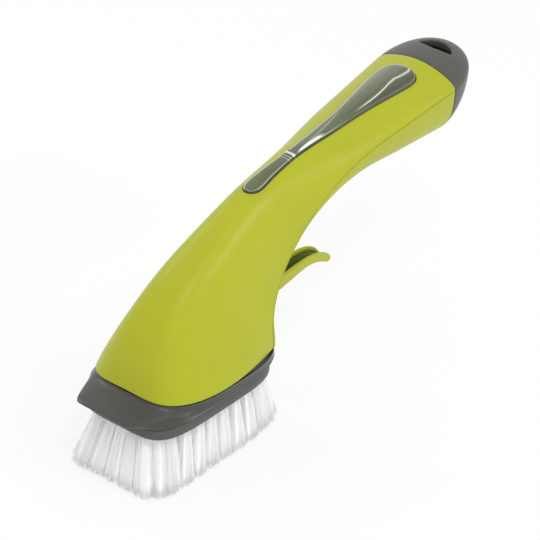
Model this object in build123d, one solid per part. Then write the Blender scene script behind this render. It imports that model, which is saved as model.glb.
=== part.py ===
from build123d import *
import os
from math import cos, pi, radians, sin

# Soap-dispensing dish wand, in millimetres.
# X runs from the scraper lip to the end cap, Z is up, and the wand is symmetric about Y = 0.
# The origin is under the middle of the length, level with the bristle tips.

# Head and handle sizes along the length
lip_reach = 15.1                # scraper lip in front of the casing
base_length = 79.5              # casing at its seam with the head
handle_run = 129.3              # parting line, from the head to the cap seam
cap_length = 27.1
base_half_width = 27.8
grip_half_width = 21.7          # half width of the handle at the cap seam
grip_belly = 25.3               # depth of the handle below its parting line there
front_depth = 71.1              # casing in front of the parting line, at the seam

# Heights above the bristle tips
plate_bottom = 25.0
collar_bottom = 30.4
lip_height = 36.8
seam_height = 41.0
handle_rise = 76.0              # rise of the parting line from the seam to the cap
seam_crown_radius = 180.0       # the seam drops a little towards both sides

# Casing
wall = 2.0
parting_gap = 0.3
seam_gap = 0.5
fit_gap = 0.3                   # between parts that only sit next to each other
running_gap = 0.05              # radial clearance of a pin or stem in its hole
overrun = 4.0                   # how far a cutter runs past what it cuts

# Scraper lip and collar
lip_half_width = 13.0
lip_blend = 10.5                # width over which the lip fades into the collar's side
lip_thickness = 0.8
neck_height = 2.3               # concave neck below the seam
neck_inset = 0.7
ridge_flare = 0.5               # the collar's ridge stands proud of the casing
ridge_front_flare = 1.75
ridge_rear_flare = 1.5
neck_lip_share = 0.3            # how much of the lip the neck already has
base_squareness = (3.06, 3.45)  # exponents of an outline's front and rear half
neck_squareness = (3.1, 3.45)
ridge_squareness = (3.7, 3.3)
plate_squareness = (4.8, 3.9)
collar_wall = 2.6
collar_floor = 1.8
upstand_height = 4.5            # rim that plugs into the casing
upstand_wall = 1.4

# Bristle plate and bristles
plate_half_width = 25.7
plate_front_setback = 4.4       # plate front behind the casing's front, negative is in front
plate_gap = 0.2
backing_depth = 1.4             # pocket for the bristle backings
plate_rim = 2.2
tuft_pitch = 8.2
tuft_edge = 3.6                 # from the pocket's edge to the first tuft
tuft_radius = 1.7
strands_per_tuft = 7
strand_root = 0.85
strand_tip = 1.0
corner_share = 0.36             # how much narrower the end rows are
tuft_spread_share = 0.75        # how much a tuft opens towards its tips
flare_length_share = 0.12       # how much the whole field opens along X
flare_centre_share = 0.772      # where it stands upright, along the casing's seam
flare_width_share = 0.11        # and along Y
flare_corner_share = 0.46       # extra for the corners

# Window in the top of the handle, the outline of a table knife
window_start = 9.2              # from the cap seam back to the near end of the window
window_length = 116.6
window_half_width = 9.6
window_gap = 0.15
window_proud = 0.7

# Soap tank and filler neck
tank_wall = 1.2
tank_lift = 2.0                 # tank floor above the second station of the casing
neck_bore = 7.0
neck_wall = 1.6
neck_length = 8.0
flange_thickness = 2.5
spigot_radius = 1.9
spigot_bore = 1.1
spigot_length = 5.0
spigot_boss_radius = 4.2
spigot_boss_drop = 3.0

# End cap
cap_wall = 2.4
cap_cavity_depth = 9.6
cap_rise = 3.9                  # the dome's tip lies above the cap's own axis
plug_gap = 0.35
plug_length = 5.0
plug_flange = 1.2
ring_section = 1.0
hole_distance = 12.0            # cap seam to the inner edge of the hanging hole
hole_half_width = 9.1
hole_inner_sagitta = 1.7
hole_outer_sagitta = 5.6

# Trigger lever
lever_half_width = 4.5
lever_skin = 1.6
lever_reach = 72.5              # pivot to the lever's tip
lever_depth = 8.0               # channel depth beside the pivot
lever_tip_depth = 3.6
pivot_height = 49.5
pivot_from_valve = 17.0         # inner arm of the lever
hub_radius = 4.0
hub_half_width = 3.1
pin_radius = 1.5
pin_half_length = 6.4
lever_travel = 9.0              # degrees
arm_thickness = 3.2
pad_radius = 1.6
pad_rise = 4.1                  # pad above the pivot, at the inner arm's end
lever_neck_share = 0.14         # block between hub and channel, along the reach
slot_side_gap = 0.7
slot_height = 16.0

# Mechanism frame
frame_height = 43.6
frame_thickness = 1.8
ear_thickness = 2.2
ear_radius = 4.4
post_radius = 3.4
post_spread_x = 22.0
post_spread_y = 17.0
screw_radius = 1.4
screw_head_radius = 2.7
screw_head_height = 1.9
screw_length = 9.0
retainer_thickness = 0.6
retainer_radius = 2.6

# Valve
valve_distance = 65.2           # scraper lip to the valve's axis
housing_radius = 6.4
housing_bottom = 37.0
housing_top = 47.0
seat_thickness = 1.5
inlet_chamber = 2.8
gland_thickness = 1.5
chamber_radius = 4.2
seat_radius = 2.2
stem_radius = 1.5
button_radius = 5.0
button_height = 1.2
button_gap = 0.2
disc_radius = 3.4
disc_thickness = 1.2
stem_foot = 0.8
nozzle_radius = 6.2
nozzle_pipe_radius = 3.2
nozzle_bore = 1.5
nozzle_floor = 1.2
inlet_height = 39.9
tube_radius = 3.0
tube_bore = 2.0
tube_drop_distance = 16.0       # valve axis to the tube's upright run
tube_bend = 6.0
spring_radius = 3.1
spring_wire = 0.25
spring_turns = 5
gland_ring = 0.55

# Places that follow from the sizes above
total_length = lip_reach + base_length + handle_run + cap_length
rear_setback_share = 0.332      # casing behind the parting line at the seam, of grip_belly
rear_setback = rear_setback_share * grip_belly
lip_x = -(total_length - rear_setback) / 2
front_x = lip_x + lip_reach
rear_x = front_x + base_length
parting_x = rear_x - rear_setback
cap_seam_x = parting_x + handle_run
cap_seam_z = seam_height + handle_rise
valve_x = lip_x + valve_distance
pivot_x = valve_x + pivot_from_valve
middle_share = 0.53             # widest place of the head, along the casing's seam
middle_x = front_x + middle_share * base_length

# Stations of the casing, from below the seam to the cap. Shares follow handle_run,
# handle_rise, grip_half_width, front_depth and grip_belly; the tilt is in degrees.
# Columns: run, rise, tilt, width at parting, width half way, width at top, crown, belly,
# squareness of the crown, squareness of the belly.
station_shares = [
    (-0.006, -0.079, 0, 1.152, 1.493, 1.309, 1.031, 0.356, 4.0, 2.1),
    (0.000, 0.000, 0, 1.106, 1.438, 1.263, 1.000, 0.332, 4.0, 2.1),
    (0.018, 0.174, 16, 0.966, 0.950, 0.806, 0.859, 0.175, 3.8, 2.2),
    (0.084, 0.359, 36, 0.819, 0.727, 0.636, 0.602, 0.140, 3.2, 2.4),
    (0.186, 0.552, 55, 0.763, 0.652, 0.541, 0.412, 0.164, 2.6, 2.6),
    (0.333, 0.725, 72, 0.763, 0.665, 0.568, 0.248, 0.320, 2.2, 2.8),
    (0.523, 0.855, 82, 0.810, 0.738, 0.666, 0.145, 0.524, 2.0, 3.0),
    (0.744, 0.924, 86, 0.899, 0.854, 0.810, 0.143, 0.752, 1.8, 3.0),
    (1.000, 1.000, 87, 1.000, 0.989, 0.979, 0.114, 1.000, 1.7, 3.0),
]
cap_tilt = radians(station_shares[-1][2])
cap_axis = Vector(sin(cap_tilt), 0, cos(cap_tilt))
cap_up = Vector(-cos(cap_tilt), 0, sin(cap_tilt))
crown_top = station_shares[-1][6] * front_depth
curve_steps = 5                 # points on half a quarter of a section
section_count = 15              # sections in a full loft of the casing


def row_places():
    """Share of the parting line at which each row of the table stands."""
    places = [0.0]
    for first, second in zip(station_shares, station_shares[1:]):
        step = Vector((second[0] - first[0]) * handle_run,
                      (second[1] - first[1]) * handle_rise)
        places.append(places[-1] + step.length)
    return [place / places[-1] for place in places]


def row_slope(column, k, places):
    steps = []
    for i in (k - 1, k):
        if 0 <= i < len(places) - 1:
            gap = places[i + 1] - places[i]
            rise = station_shares[i + 1][column] - station_shares[i][column]
            steps.append((rise / gap, gap))
    if len(steps) == 1:
        return steps[0][0]
    (before, gap_before), (after, gap_after) = steps
    return (before * gap_after + after * gap_before) / (gap_before + gap_after)


def station_row(share):
    """Row of the table at any share of the parting line, blended between its neighbours."""
    places = row_places()
    k = max([i for i in range(len(places) - 1) if places[i] <= share] or [0])
    gap = places[k + 1] - places[k]
    t = (share - places[k]) / gap
    row = []
    for column in range(len(station_shares[0])):
        start, end = station_shares[k][column], station_shares[k + 1][column]
        leave = row_slope(column, k, places) * gap
        arrive = row_slope(column, k + 1, places) * gap
        if t < 0:
            row.append(start + leave * t)
        else:
            row.append(start * (1 + 2 * t) * (1 - t) ** 2 + leave * t * (1 - t) ** 2
                       + end * t * t * (3 - 2 * t) + arrive * t * t * (t - 1))
    return row


def frame_of(row):
    """Origin and up vector of a section."""
    angle = radians(row[2])
    origin = Vector(parting_x + row[0] * handle_run, 0, seam_height + row[1] * handle_rise)
    return origin, Vector(-cos(angle), 0, sin(angle))


def place(origin, up, y, v):
    return origin + Vector(0, y, 0) + up * v


def arch(row, inset, side):
    """Half of a section: side 1 is the crown above the parting line, -1 the belly below."""
    _, _, _, low, mid, high, crown, belly, square_top, square_low = row
    origin, up = frame_of(row)
    height = (crown * front_depth if side > 0 else belly * grip_belly) - inset
    power = 2 / (square_top if side > 0 else square_low)
    points = []
    for k in range(4 * curve_steps + 1):
        theta = pi * k / (4 * curve_steps)
        rise = sin(theta) ** power if 0 < theta < pi else 0
        reach = abs(cos(theta)) ** power * (1 if theta < pi / 2 else -1)
        if side > 0:
            share = low * (1 - rise) ** 2 + 2 * mid * rise * (1 - rise) + high * rise ** 2
        else:
            share = low
        width = share * grip_half_width - inset
        points.append(place(origin, up, width * reach, side * height * rise))
    return points


def spline(points):
    count = len(points) - 1
    return Edge.make_spline(points, parameters=[k / count for k in range(count + 1)])


def casing_solid(inset, first=0, reach=0.0):
    """The casing filled in, its sections inset all round, from one section to the cap."""
    wires = []
    for k in range(first, section_count + 1):
        row = station_row(k / section_count)
        wires.append(Wire([spline(arch(row, inset, 1)), spline(arch(row, inset, -1)[::-1])]))
    if reach:
        wires.append(wires[-1].translate(cap_axis * reach))
    return Solid.make_loft(wires)


def parting_band(outer):
    """Thin gap between the casing's halves, along the crease of its surface."""
    rail = max(outer.edges(), key=lambda edge: edge.bounding_box().size.Z)
    count = 4 * len(station_shares)
    rows = [[], []]
    for k in range(-1, count + 2):
        share = min(max(k, 0), count) / count
        along = rail.tangent_at(share)
        point = rail.position_at(share) + along * (overrun * (k - share * count))
        across = Vector(-along.Z, 0, along.X).normalized() * (parting_gap / 2)
        for row, sign in zip(rows, (1, -1)):
            row.append(Vector(point.X, -grip_half_width * 2, point.Z) + across * sign)
    over, under = rows[0], rows[1][::-1]
    edges = [spline(over), Edge.make_line(over[-1], under[0]), spline(under),
             Edge.make_line(under[-1], over[0])]
    return Solid.extrude(Face(Wire(edges)), Vector(0, 4 * grip_half_width, 0))


def seam_cylinder(height):
    """Everything under the crowned seam surface whose top line is at this height."""
    axis = Plane(origin=(-total_length, 0, height - seam_crown_radius), z_dir=(1, 0, 0))
    return Solid.make_cylinder(seam_crown_radius, 2 * total_length, axis)


def crown_drop(y):
    return y * y / (2 * seam_crown_radius)


def plan_outline(front, rear, half_width, square_front, square_rear, height, lip=0.0,
                 crowned=False):
    """Closed spline outline of the head, seen from above, with an optional lip in front."""
    angles = [0, 7, 15, 24, 34, 45, 57, 70, 83, 97, 110, 122, 133, 143, 152, 160, 168, 174]
    half = []
    for angle in angles + [180]:
        c, s = cos(radians(angle)), sin(radians(angle))
        power = 2 / (square_front if c > 0 else square_rear)
        y = half_width * abs(s) ** power
        reach = (middle_x - front) if c > 0 else (middle_x - rear)
        x = middle_x - reach * abs(c) ** power
        fade = min(max((y - lip_half_width) / lip_blend, 0), 1)
        if c > 0:
            x -= lip * (1 - fade * fade * (3 - 2 * fade))
        half.append((x, y))
    loop = half + [(x, -y) for x, y in half[-2:0:-1]]
    points = [Vector(x, y, height - (crown_drop(y) if crowned else 0)) for x, y in loop]
    steps = [k / len(points) for k in range(len(points) + 1)]
    return Wire([Edge.make_spline(points, periodic=True, parameters=steps)])


def cylinder(x, z_low, z_high, radius, y=0.0):
    plane = Plane(origin=(x, y, z_low), z_dir=(0, 0, 1))
    return Solid.make_cylinder(radius, z_high - z_low, plane)


def cross_cylinder(x, z, radius, half_length):
    """Cylinder along Y."""
    plane = Plane(origin=(x, -half_length, z), z_dir=(0, 1, 0))
    return Solid.make_cylinder(radius, 2 * half_length, plane)


def slab(points, half_width):
    """Side profile in XZ, extruded equally to both sides."""
    outline = Wire.make_polygon([Vector(x, -half_width, z) for x, z in points])
    return Solid.extrude(Face(outline), Vector(0, 2 * half_width, 0))


# Casing

def knife_outline(grow):
    """Half outline of the window, from its round near end to its far end, as (x, y)."""
    start = cap_seam_x - window_start - window_length
    shares = [(0.000, 0.00), (0.005, 0.20), (0.018, 0.36), (0.040, 0.45), (0.070, 0.46),
              (0.110, 0.42), (0.170, 0.38), (0.240, 0.345), (0.300, 0.345), (0.380, 0.38),
              (0.460, 0.435), (0.560, 0.505), (0.650, 0.61), (0.740, 0.755),
              (0.830, 0.90), (0.890, 0.98), (0.930, 0.995), (0.963, 0.90), (0.985, 0.64),
              (0.996, 0.33), (1.000, 0.00)]
    half = []
    for along, across in shares:
        x = start + window_length / 2 + (along - 0.5) * (window_length + 2 * grow)
        half.append((x, across * (window_half_width + grow)))
    return half


def knife_prism(grow):
    half = knife_outline(grow)
    loop = half + [(x, -y) for x, y in half[-2:0:-1]]
    points = [Vector(x, y, seam_height) for x, y in loop]
    outline = Wire([Edge.make_spline(points, periodic=True)])
    return Solid.extrude(Face(outline), Vector(0, 0, 2 * handle_rise))


def lever_slot():
    """Opening in the casing's rear wall and the collar's rim for the lever."""
    depth = rear_x - pivot_x + overrun
    height = slot_height + overrun
    z = seam_height - overrun + height / 2
    x = pivot_x + ear_radius + depth / 2
    return Pos(x, 0, z) * Box(depth, 2 * (lever_half_width + slot_side_gap), height)


def make_casing(core):
    outer = casing_solid(0)
    below = seam_cylinder(seam_height + seam_gap / 2)
    shell = outer - core - below - parting_band(outer)
    halves = sorted(shell.solids(), key=lambda solid: solid.bounding_box().max.Z)
    lower, upper = halves[0], halves[-1]
    return upper - knife_prism(window_gap), lower - lever_slot()


def make_window(core):
    """Lens that fills the knife-shaped opening and stands a little proud of it."""
    proud = casing_solid(-window_proud) & knife_prism(0)
    return max((proud - core).solids(), key=lambda solid: solid.center().Z)


# Soap tank, filler neck and tube

def neck_plane(distance):
    middle = (crown_top - grip_belly) / 2
    base = Vector(cap_seam_x, 0, cap_seam_z) + cap_up * middle
    return Plane(origin=base + cap_axis * distance, z_dir=cap_axis)


def end_block(distance):
    """Everything on the cap's side of a plane across the handle."""
    size = total_length
    return neck_plane(distance) * (Pos(0, 0, size / 2) * Box(size, size, size))


def floor_block(lift):
    """Everything under the tank's floor, which lies along the second station."""
    origin, _ = frame_of(station_shares[2])
    tilt = radians(station_shares[2][2])
    normal = Vector(sin(tilt), 0, cos(tilt))
    plane = Plane(origin=origin + normal * lift, z_dir=normal)
    size = total_length
    return plane * (Pos(0, 0, -size / 2) * Box(size, size, size))


def tank_floor_z(x):
    origin, _ = frame_of(station_shares[2])
    tilt = radians(station_shares[2][2])
    return origin.Z + tank_lift / cos(tilt) + (origin.X - x) * sin(tilt) / cos(tilt)


tube_x = valve_x - tube_drop_distance
spigot_bottom = tank_floor_z(tube_x) - spigot_boss_drop


def make_tank():
    end = end_block(-flange_thickness - fit_gap)
    outer = casing_solid(wall + fit_gap) - end - floor_block(tank_lift)
    inner = casing_solid(wall + fit_gap + tank_wall, reach=overrun)
    boss = cylinder(tube_x, spigot_bottom, spigot_bottom + 2 * spigot_boss_drop,
                    spigot_boss_radius)
    tank = outer - (inner - floor_block(tank_lift + tank_wall)) + boss
    tank += cylinder(tube_x, spigot_bottom - spigot_length, spigot_bottom, spigot_radius)
    top = spigot_bottom + 4 * spigot_boss_drop
    return tank - cylinder(tube_x, spigot_bottom - 2 * spigot_length, top, spigot_bore)


def make_filler_neck():
    flange = casing_solid(wall + fit_gap) & end_block(-flange_thickness)
    plane = neck_plane(-flange_thickness)
    neck = Solid.make_cylinder(neck_bore + neck_wall, flange_thickness + neck_length, plane)
    bore = Solid.make_cylinder(neck_bore, 4 * neck_length, neck_plane(-2 * neck_length))
    return flange + neck - bore


def make_tube():
    """Soft tube from the tank's spigot down and round to the valve's inlet."""
    inlet = valve_x - housing_radius
    path = FilletPolyline((tube_x, 0, spigot_bottom), (tube_x, 0, inlet_height),
                          (inlet, 0, inlet_height), radius=tube_bend)
    plane = Plane(origin=(tube_x, 0, spigot_bottom), z_dir=(0, 0, -1))
    outer = sweep(plane * Circle(tube_radius), path)
    inner = sweep(plane * Circle(tube_bore), path)
    return outer - inner


# Head

def make_collar(rim):
    plate_front = front_x - plate_front_setback
    ridge = (front_x - ridge_front_flare, rear_x + ridge_rear_flare,
             base_half_width + ridge_flare, *ridge_squareness)
    reach = lip_reach - ridge_front_flare
    base = (front_x, rear_x, base_half_width, *base_squareness)
    wires = [
        plan_outline(*base, seam_height + overrun),
        plan_outline(*base, seam_height, crowned=True),
        plan_outline(front_x - neck_inset, rear_x - neck_inset,
                     base_half_width - neck_inset, *neck_squareness,
                     seam_height - neck_height, lip=neck_lip_share * reach, crowned=True),
        plan_outline(*ridge, lip_height, lip=reach, crowned=True),
        plan_outline(*ridge, lip_height - lip_thickness, lip=reach, crowned=True),
        plan_outline(plate_front - plate_gap, rear_x + plate_gap,
                     plate_half_width + plate_gap, *plate_squareness, collar_bottom),
    ]
    collar = Solid.make_loft(wires, ruled=True) & seam_cylinder(seam_height - seam_gap / 2)
    floor = collar_bottom + collar_floor
    setback = 4 * collar_wall
    low = plan_outline(plate_front + setback, rear_x - collar_wall,
                       plate_half_width - collar_wall, *plate_squareness, floor)
    high = plan_outline(front_x + collar_wall, rear_x - collar_wall,
                        base_half_width - collar_wall, *base_squareness,
                        seam_height + overrun)
    collar = collar - Solid.make_loft([low, high], ruled=True) + rim
    for x, y in post_places():
        collar += cylinder(x, floor - collar_floor / 2, frame_height, post_radius, y)
    for x, y in post_places():
        collar -= cylinder(x, frame_height - screw_length, frame_height + overrun,
                           screw_radius, y)
    hole = nozzle_radius + fit_gap
    return collar - cylinder(valve_x, collar_bottom - overrun, floor + overrun, hole)


def make_rim():
    """Rim of the collar that plugs into the casing."""
    low = seam_height - overrun
    high = seam_height + upstand_height
    size = 2 * total_length
    band = Pos(0, 0, (low + high) / 2) * Box(size, size, high - low)
    rim = casing_solid(wall + fit_gap, -1) & band
    return rim - casing_solid(wall + fit_gap + upstand_wall, -1) - lever_slot()


def post_places():
    middle = valve_x - post_spread_x / 4
    return [(middle + sx * post_spread_x / 2, sy * post_spread_y)
            for sx in (-1, 1) for sy in (-1, 1)]


def plate_prism(inset, low, high):
    outline = (front_x - plate_front_setback + inset, rear_x - inset,
               plate_half_width - inset, *plate_squareness)
    face = Face(plan_outline(*outline, low))
    return Solid.extrude(face, Vector(0, 0, high - low))


def make_plate():
    plate = plate_prism(0, plate_bottom, collar_bottom - plate_gap)
    pocket = plate_prism(plate_rim, plate_bottom - overrun, plate_bottom + backing_depth)
    hole = nozzle_pipe_radius + fit_gap
    drill = cylinder(valve_x, plate_bottom - overrun, collar_bottom + overrun, hole)
    return plate - pocket - drill


def tuft_places():
    """Root of every tuft on the backing, in rows across the head."""
    front = front_x - plate_front_setback + plate_rim + tuft_edge
    rear = rear_x - plate_rim - tuft_edge
    half = plate_half_width - plate_rim - tuft_edge
    rows = round((rear - front) / tuft_pitch) + 1
    columns = round(2 * half / tuft_pitch) + 1
    clear = nozzle_pipe_radius + tuft_radius + strand_root
    places = []
    for i in range(rows):
        x = front + (rear - front) * i / (rows - 1)
        along = abs(2 * i / (rows - 1) - 1)
        reach = half * (1 - corner_share * along ** 5)
        for j in range(columns):
            y = reach * (2 * j / (columns - 1) - 1)
            if abs(x - valve_x) > clear or abs(y) > clear:
                places.append((x, y))
    return places


def strand(x, y, tip_x, tip_y, turn):
    """Four-sided strand from inside its backing down to a flat tip on Z = 0."""
    loops = []
    ends = [(x, y, plate_bottom + backing_depth / 2, strand_root),
            (tip_x, tip_y, 0, strand_tip)]
    for cx, cy, z, size in ends:
        corners = []
        for k in range(4):
            angle = turn + pi / 2 * k
            corners.append(Vector(cx + size / 2 * cos(angle), cy + size / 2 * sin(angle), z))
        loops.append(Wire.make_polygon(corners))
    return Solid.make_loft(loops, ruled=True)


def tuft(x, y):
    """Strands of one tuft, opening towards the tips and leaning outwards with the field."""
    centre = front_x + flare_centre_share * base_length
    along = min(abs(2 * (x - middle_x) / base_length), 1)
    tip_x = centre + (x - centre) * (1 + flare_length_share)
    tip_y = y * (1 + flare_width_share + flare_corner_share * along ** 5)
    strands = []
    for k in range(strands_per_tuft):
        angle = 2 * pi * k / strands_per_tuft + x / tuft_pitch
        dx, dy = tuft_radius * cos(angle), tuft_radius * sin(angle)
        open_up = 1 + tuft_spread_share
        strands.append(strand(x + dx, y + dy, tip_x + dx * open_up, tip_y + dy * open_up,
                              angle))
    return strands


def make_bristles():
    """Three backings side by side in the plate's pocket, each with its tufts."""
    places = tuft_places()
    front, rear = front_x - plate_front_setback, rear_x
    xs = sorted({x for x, _ in places})
    third = len(xs) // 3
    cuts = [front, (xs[third - 1] + xs[third]) / 2,
            (xs[-third - 1] + xs[-third]) / 2, rear]
    backing = plate_prism(plate_rim + plate_gap, plate_bottom,
                          plate_bottom + backing_depth - plate_gap)
    drill = cylinder(valve_x, 0, collar_bottom, nozzle_pipe_radius + fit_gap)
    sets = []
    for low, high in zip(cuts, cuts[1:]):
        length = high - low - plate_gap
        width = 2 * plate_half_width
        window = Pos((low + high) / 2, 0, plate_bottom) * Box(length, width, width)
        slice_ = (backing & window) - drill
        strands = [s for x, y in places if low < x < high for s in tuft(x, y)]
        sets.append(slice_.fuse(*strands))
    return sets


# Valve

seat_top = housing_bottom + seat_thickness
gland_bottom = seat_top + inlet_chamber
spring_floor = gland_bottom + gland_thickness
pad_z = pivot_height + pad_rise
button_top = pad_z - pad_radius - button_gap
button_bottom = button_top - button_height
disc_top = housing_bottom - running_gap * 2
disc_bottom = disc_top - disc_thickness


def make_housing():
    body = cylinder(valve_x, housing_bottom, housing_top, housing_radius)
    nipple = Plane(origin=(valve_x, 0, inlet_height), z_dir=(-1, 0, 0))
    body += Solid.make_cylinder(spigot_radius, housing_radius + spigot_length, nipple)
    body -= cylinder(valve_x, housing_bottom - overrun, seat_top + overrun, seat_radius)
    body -= cylinder(valve_x, seat_top, gland_bottom, chamber_radius)
    body -= Solid.make_cylinder(spigot_bore, housing_radius + 2 * spigot_length, nipple)
    body -= cylinder(valve_x, gland_bottom - overrun / 4, housing_top,
                     stem_radius + running_gap)
    return body - cylinder(valve_x, spring_floor, housing_top + overrun, chamber_radius)


def make_nozzle():
    body = cylinder(valve_x, collar_bottom, housing_bottom, nozzle_radius)
    body += cylinder(valve_x, plate_bottom, collar_bottom + nozzle_floor,
                     nozzle_pipe_radius)
    body -= cylinder(valve_x, collar_bottom + nozzle_floor, housing_bottom + overrun,
                     chamber_radius)
    return body - cylinder(valve_x, plate_bottom - overrun, housing_bottom, nozzle_bore)


def make_plunger():
    low = disc_bottom - stem_foot
    stem = cylinder(valve_x, low, button_bottom + button_height / 2, stem_radius)
    foot = cylinder(valve_x, low, disc_bottom, (disc_radius + stem_radius) / 2)
    button = cylinder(valve_x, button_bottom, button_top, button_radius)
    return stem + foot + button


def make_valve_disc():
    disc = cylinder(valve_x, disc_bottom, disc_top, disc_radius)
    return disc - cylinder(valve_x, disc_bottom - overrun, disc_top + overrun,
                           stem_radius)


def make_stem_ring():
    plane = Plane(origin=(valve_x, 0, spring_floor + gland_ring), z_dir=(0, 0, 1))
    return Solid.make_torus(stem_radius + running_gap * 2 + gland_ring, gland_ring, plane)


def make_spring():
    """Compression spring under the valve's button, standing on a washer-high clearance."""
    low = spring_floor + 2 * gland_ring + 2 * spring_wire
    high = button_bottom - 2 * spring_wire
    pitch = (high - low) / spring_turns
    path = Wire([Edge.make_helix(pitch, high - low, spring_radius, (valve_x, 0, low))])
    start = path.position_at(0)
    plane = Plane(origin=start, z_dir=path.tangent_at(0))
    return sweep(plane * Circle(spring_wire), path, is_frenet=True)


# Trigger lever and its frame

def lever_profile():
    """Top and bottom edge of the lever, as (x, z), from the pivot to the tip."""
    rest = pivot_height - lever_depth / 2
    top_shares = [(0.10, 0.92), (0.22, 0.90), (0.36, 0.97), (0.50, 1.08), (0.62, 1.17),
                  (0.72, 1.21), (0.80, 1.17), (0.87, 1.04), (0.93, 0.82), (0.975, 0.54),
                  (0.993, 0.30)]
    low_shares = [(0.995, 0.14), (0.985, 0.06), (0.968, 0.03), (0.93, 0.18),
                  (0.87, 0.40), (0.80, 0.54), (0.72, 0.55), (0.62, 0.40), (0.50, 0.20),
                  (0.36, -0.01), (0.22, -0.19), (0.10, -0.34)]
    top = [(pivot_x + a * lever_reach, rest + b * lever_depth) for a, b in top_shares]
    low = [(pivot_x + a * lever_reach, rest + b * lever_depth) for a, b in low_shares]
    return top, low


def lever_channel(inset, half_width, lift):
    """Side profile of the channel, extruded; inset raises the floor of its hollow."""
    top, low = lever_profile()
    upper = [Vector(x, -half_width, z + lift) for x, z in top]
    lower = [Vector(x, -half_width, z + inset) for x, z in low]
    edges = [Edge.make_spline(upper), Edge.make_line(upper[-1], lower[0]),
             Edge.make_spline(lower), Edge.make_line(lower[-1], upper[0])]
    return Solid.extrude(Face(Wire(edges)), Vector(0, 2 * half_width, 0))


def make_lever():
    channel = lever_channel(0, lever_half_width, 0)
    hollow = lever_channel(lever_skin, lever_half_width - lever_skin, overrun)
    channel -= hollow
    hub = cross_cylinder(pivot_x, pivot_height, hub_radius, hub_half_width)
    arm_top = pad_z + pad_radius
    arm = slab([(valve_x, arm_top), (pivot_x, pivot_height + hub_radius),
                (pivot_x, pivot_height - hub_radius / 4),
                (valve_x + button_radius + pad_radius, arm_top - arm_thickness),
                (valve_x, pad_z)], hub_half_width)
    pad = cross_cylinder(valve_x, pad_z, pad_radius, hub_half_width)
    neck_end = pivot_x + lever_neck_share * lever_reach
    neck = slab([(pivot_x, pivot_height - hub_radius), (neck_end, pivot_height - hub_radius),
                 (neck_end, pivot_height + hub_radius / 2),
                 (pivot_x, pivot_height + hub_radius / 2)], hub_half_width)
    lever = channel + hub + arm + pad + neck
    return lever - cross_cylinder(pivot_x, pivot_height, pin_radius + running_gap,
                                  2 * hub_half_width)


def make_pin():
    return cross_cylinder(pivot_x, pivot_height, pin_radius, pin_half_length)


def make_retainers():
    rings = []
    outer = hub_half_width + fit_gap + ear_thickness
    for side in (-1, 1):
        y = side * (outer + retainer_thickness / 2)
        ring = cross_cylinder(pivot_x, pivot_height, retainer_radius, retainer_thickness / 2)
        ring -= cross_cylinder(pivot_x, pivot_height, pin_radius, retainer_thickness)
        rings.append(Pos(0, y, 0) * ring)
    return Compound(children=rings)


def make_frame():
    """Plate across the casing that carries the valve and the lever's pin."""
    front, rear = post_places()[0][0] - post_radius, post_places()[-1][0] + post_radius
    z = frame_height + frame_thickness / 2
    plate = Pos((front + rear) / 2, 0, z) * Box(rear - front,
                                               2 * (post_spread_y + post_radius),
                                               frame_thickness)
    end = pivot_x + ear_radius
    plate += Pos((front + end) / 2, 0, z) * Box(end - front, 4 * ear_radius,
                                                frame_thickness)
    top = frame_height + frame_thickness
    clear = housing_radius + fit_gap / 2
    plate -= cylinder(valve_x, frame_height - overrun, top + overrun, clear)
    plate -= Pos((tube_x + valve_x) / 2, 0, frame_height) * Box(
        tube_drop_distance + 2 * tube_radius + 2 * fit_gap, 2 * tube_radius + 2 * fit_gap,
        4 * frame_thickness)
    gap = hub_radius + fit_gap
    plate -= cross_cylinder(pivot_x, pivot_height, gap, hub_half_width + fit_gap)
    inner = hub_half_width + fit_gap
    for side in (-1, 1):
        y = side * (inner + ear_thickness / 2)
        ear = cross_cylinder(pivot_x, pivot_height, ear_radius, ear_thickness / 2)
        foot_height = pivot_height - frame_height
        foot = Pos(pivot_x, 0, frame_height + foot_height / 2) * Box(
            2 * ear_radius, ear_thickness, foot_height)
        plate += Pos(0, y, 0) * (ear + foot)
    plate -= cross_cylinder(pivot_x, pivot_height, pin_radius + running_gap / 2,
                            post_spread_y)
    for x, y in post_places():
        plate -= cylinder(x, frame_height - overrun, top + overrun,
                          screw_radius + fit_gap, y)
    return plate


def make_screws():
    top = frame_height + frame_thickness
    screws = []
    for x, y in post_places():
        screw = cylinder(x, frame_height - screw_length + fit_gap, top + fit_gap / 10,
                         screw_radius, y)
        screw += cylinder(x, top, top + screw_head_height, screw_head_radius, y)
        slot = Box(2 * screw_head_radius, screw_radius / 2, screw_head_height)
        screw -= Pos(x, y, top + screw_head_height) * slot
        screws.append(screw)
    return Compound(children=screws)


# End cap

def cap_section(share, inset):
    """Section of the dome at a share of the cap's length."""
    _, _, _, low, mid, high, crown, belly, square_top, square_low = station_shares[-1]
    full = max(1 - share * share, 0)
    width, top, deep = full ** (1 / 2.25), full ** (1 / 2.67), full ** (1 / 1.86)
    origin = Vector(cap_seam_x, 0, cap_seam_z) + cap_axis * (share * cap_length)
    origin += cap_up * (cap_rise * share)
    power_top = 2 / (square_top + (2 - square_top) * share)
    power_low = 2 / (square_low + (2.2 - square_low) * share)
    arcs = []
    for side, power, height in ((1, power_top, crown * front_depth * top),
                                (-1, power_low, belly * grip_belly * deep)):
        points = []
        for k in range(4 * curve_steps + 1):
            theta = pi * k / (4 * curve_steps)
            rise = sin(theta) ** power if 0 < theta < pi else 0
            reach = abs(cos(theta)) ** power * (1 if theta < pi / 2 else -1)
            if side > 0:
                part = low * (1 - rise) ** 2 + 2 * mid * rise * (1 - rise) + high * rise ** 2
            else:
                part = low
            half = part * grip_half_width * width - inset
            points.append(place(origin, cap_up, half * reach, side * (height - inset) * rise))
        arcs.append(points)
    return Wire([spline(arcs[0]), spline(arcs[1][::-1])])


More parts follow.
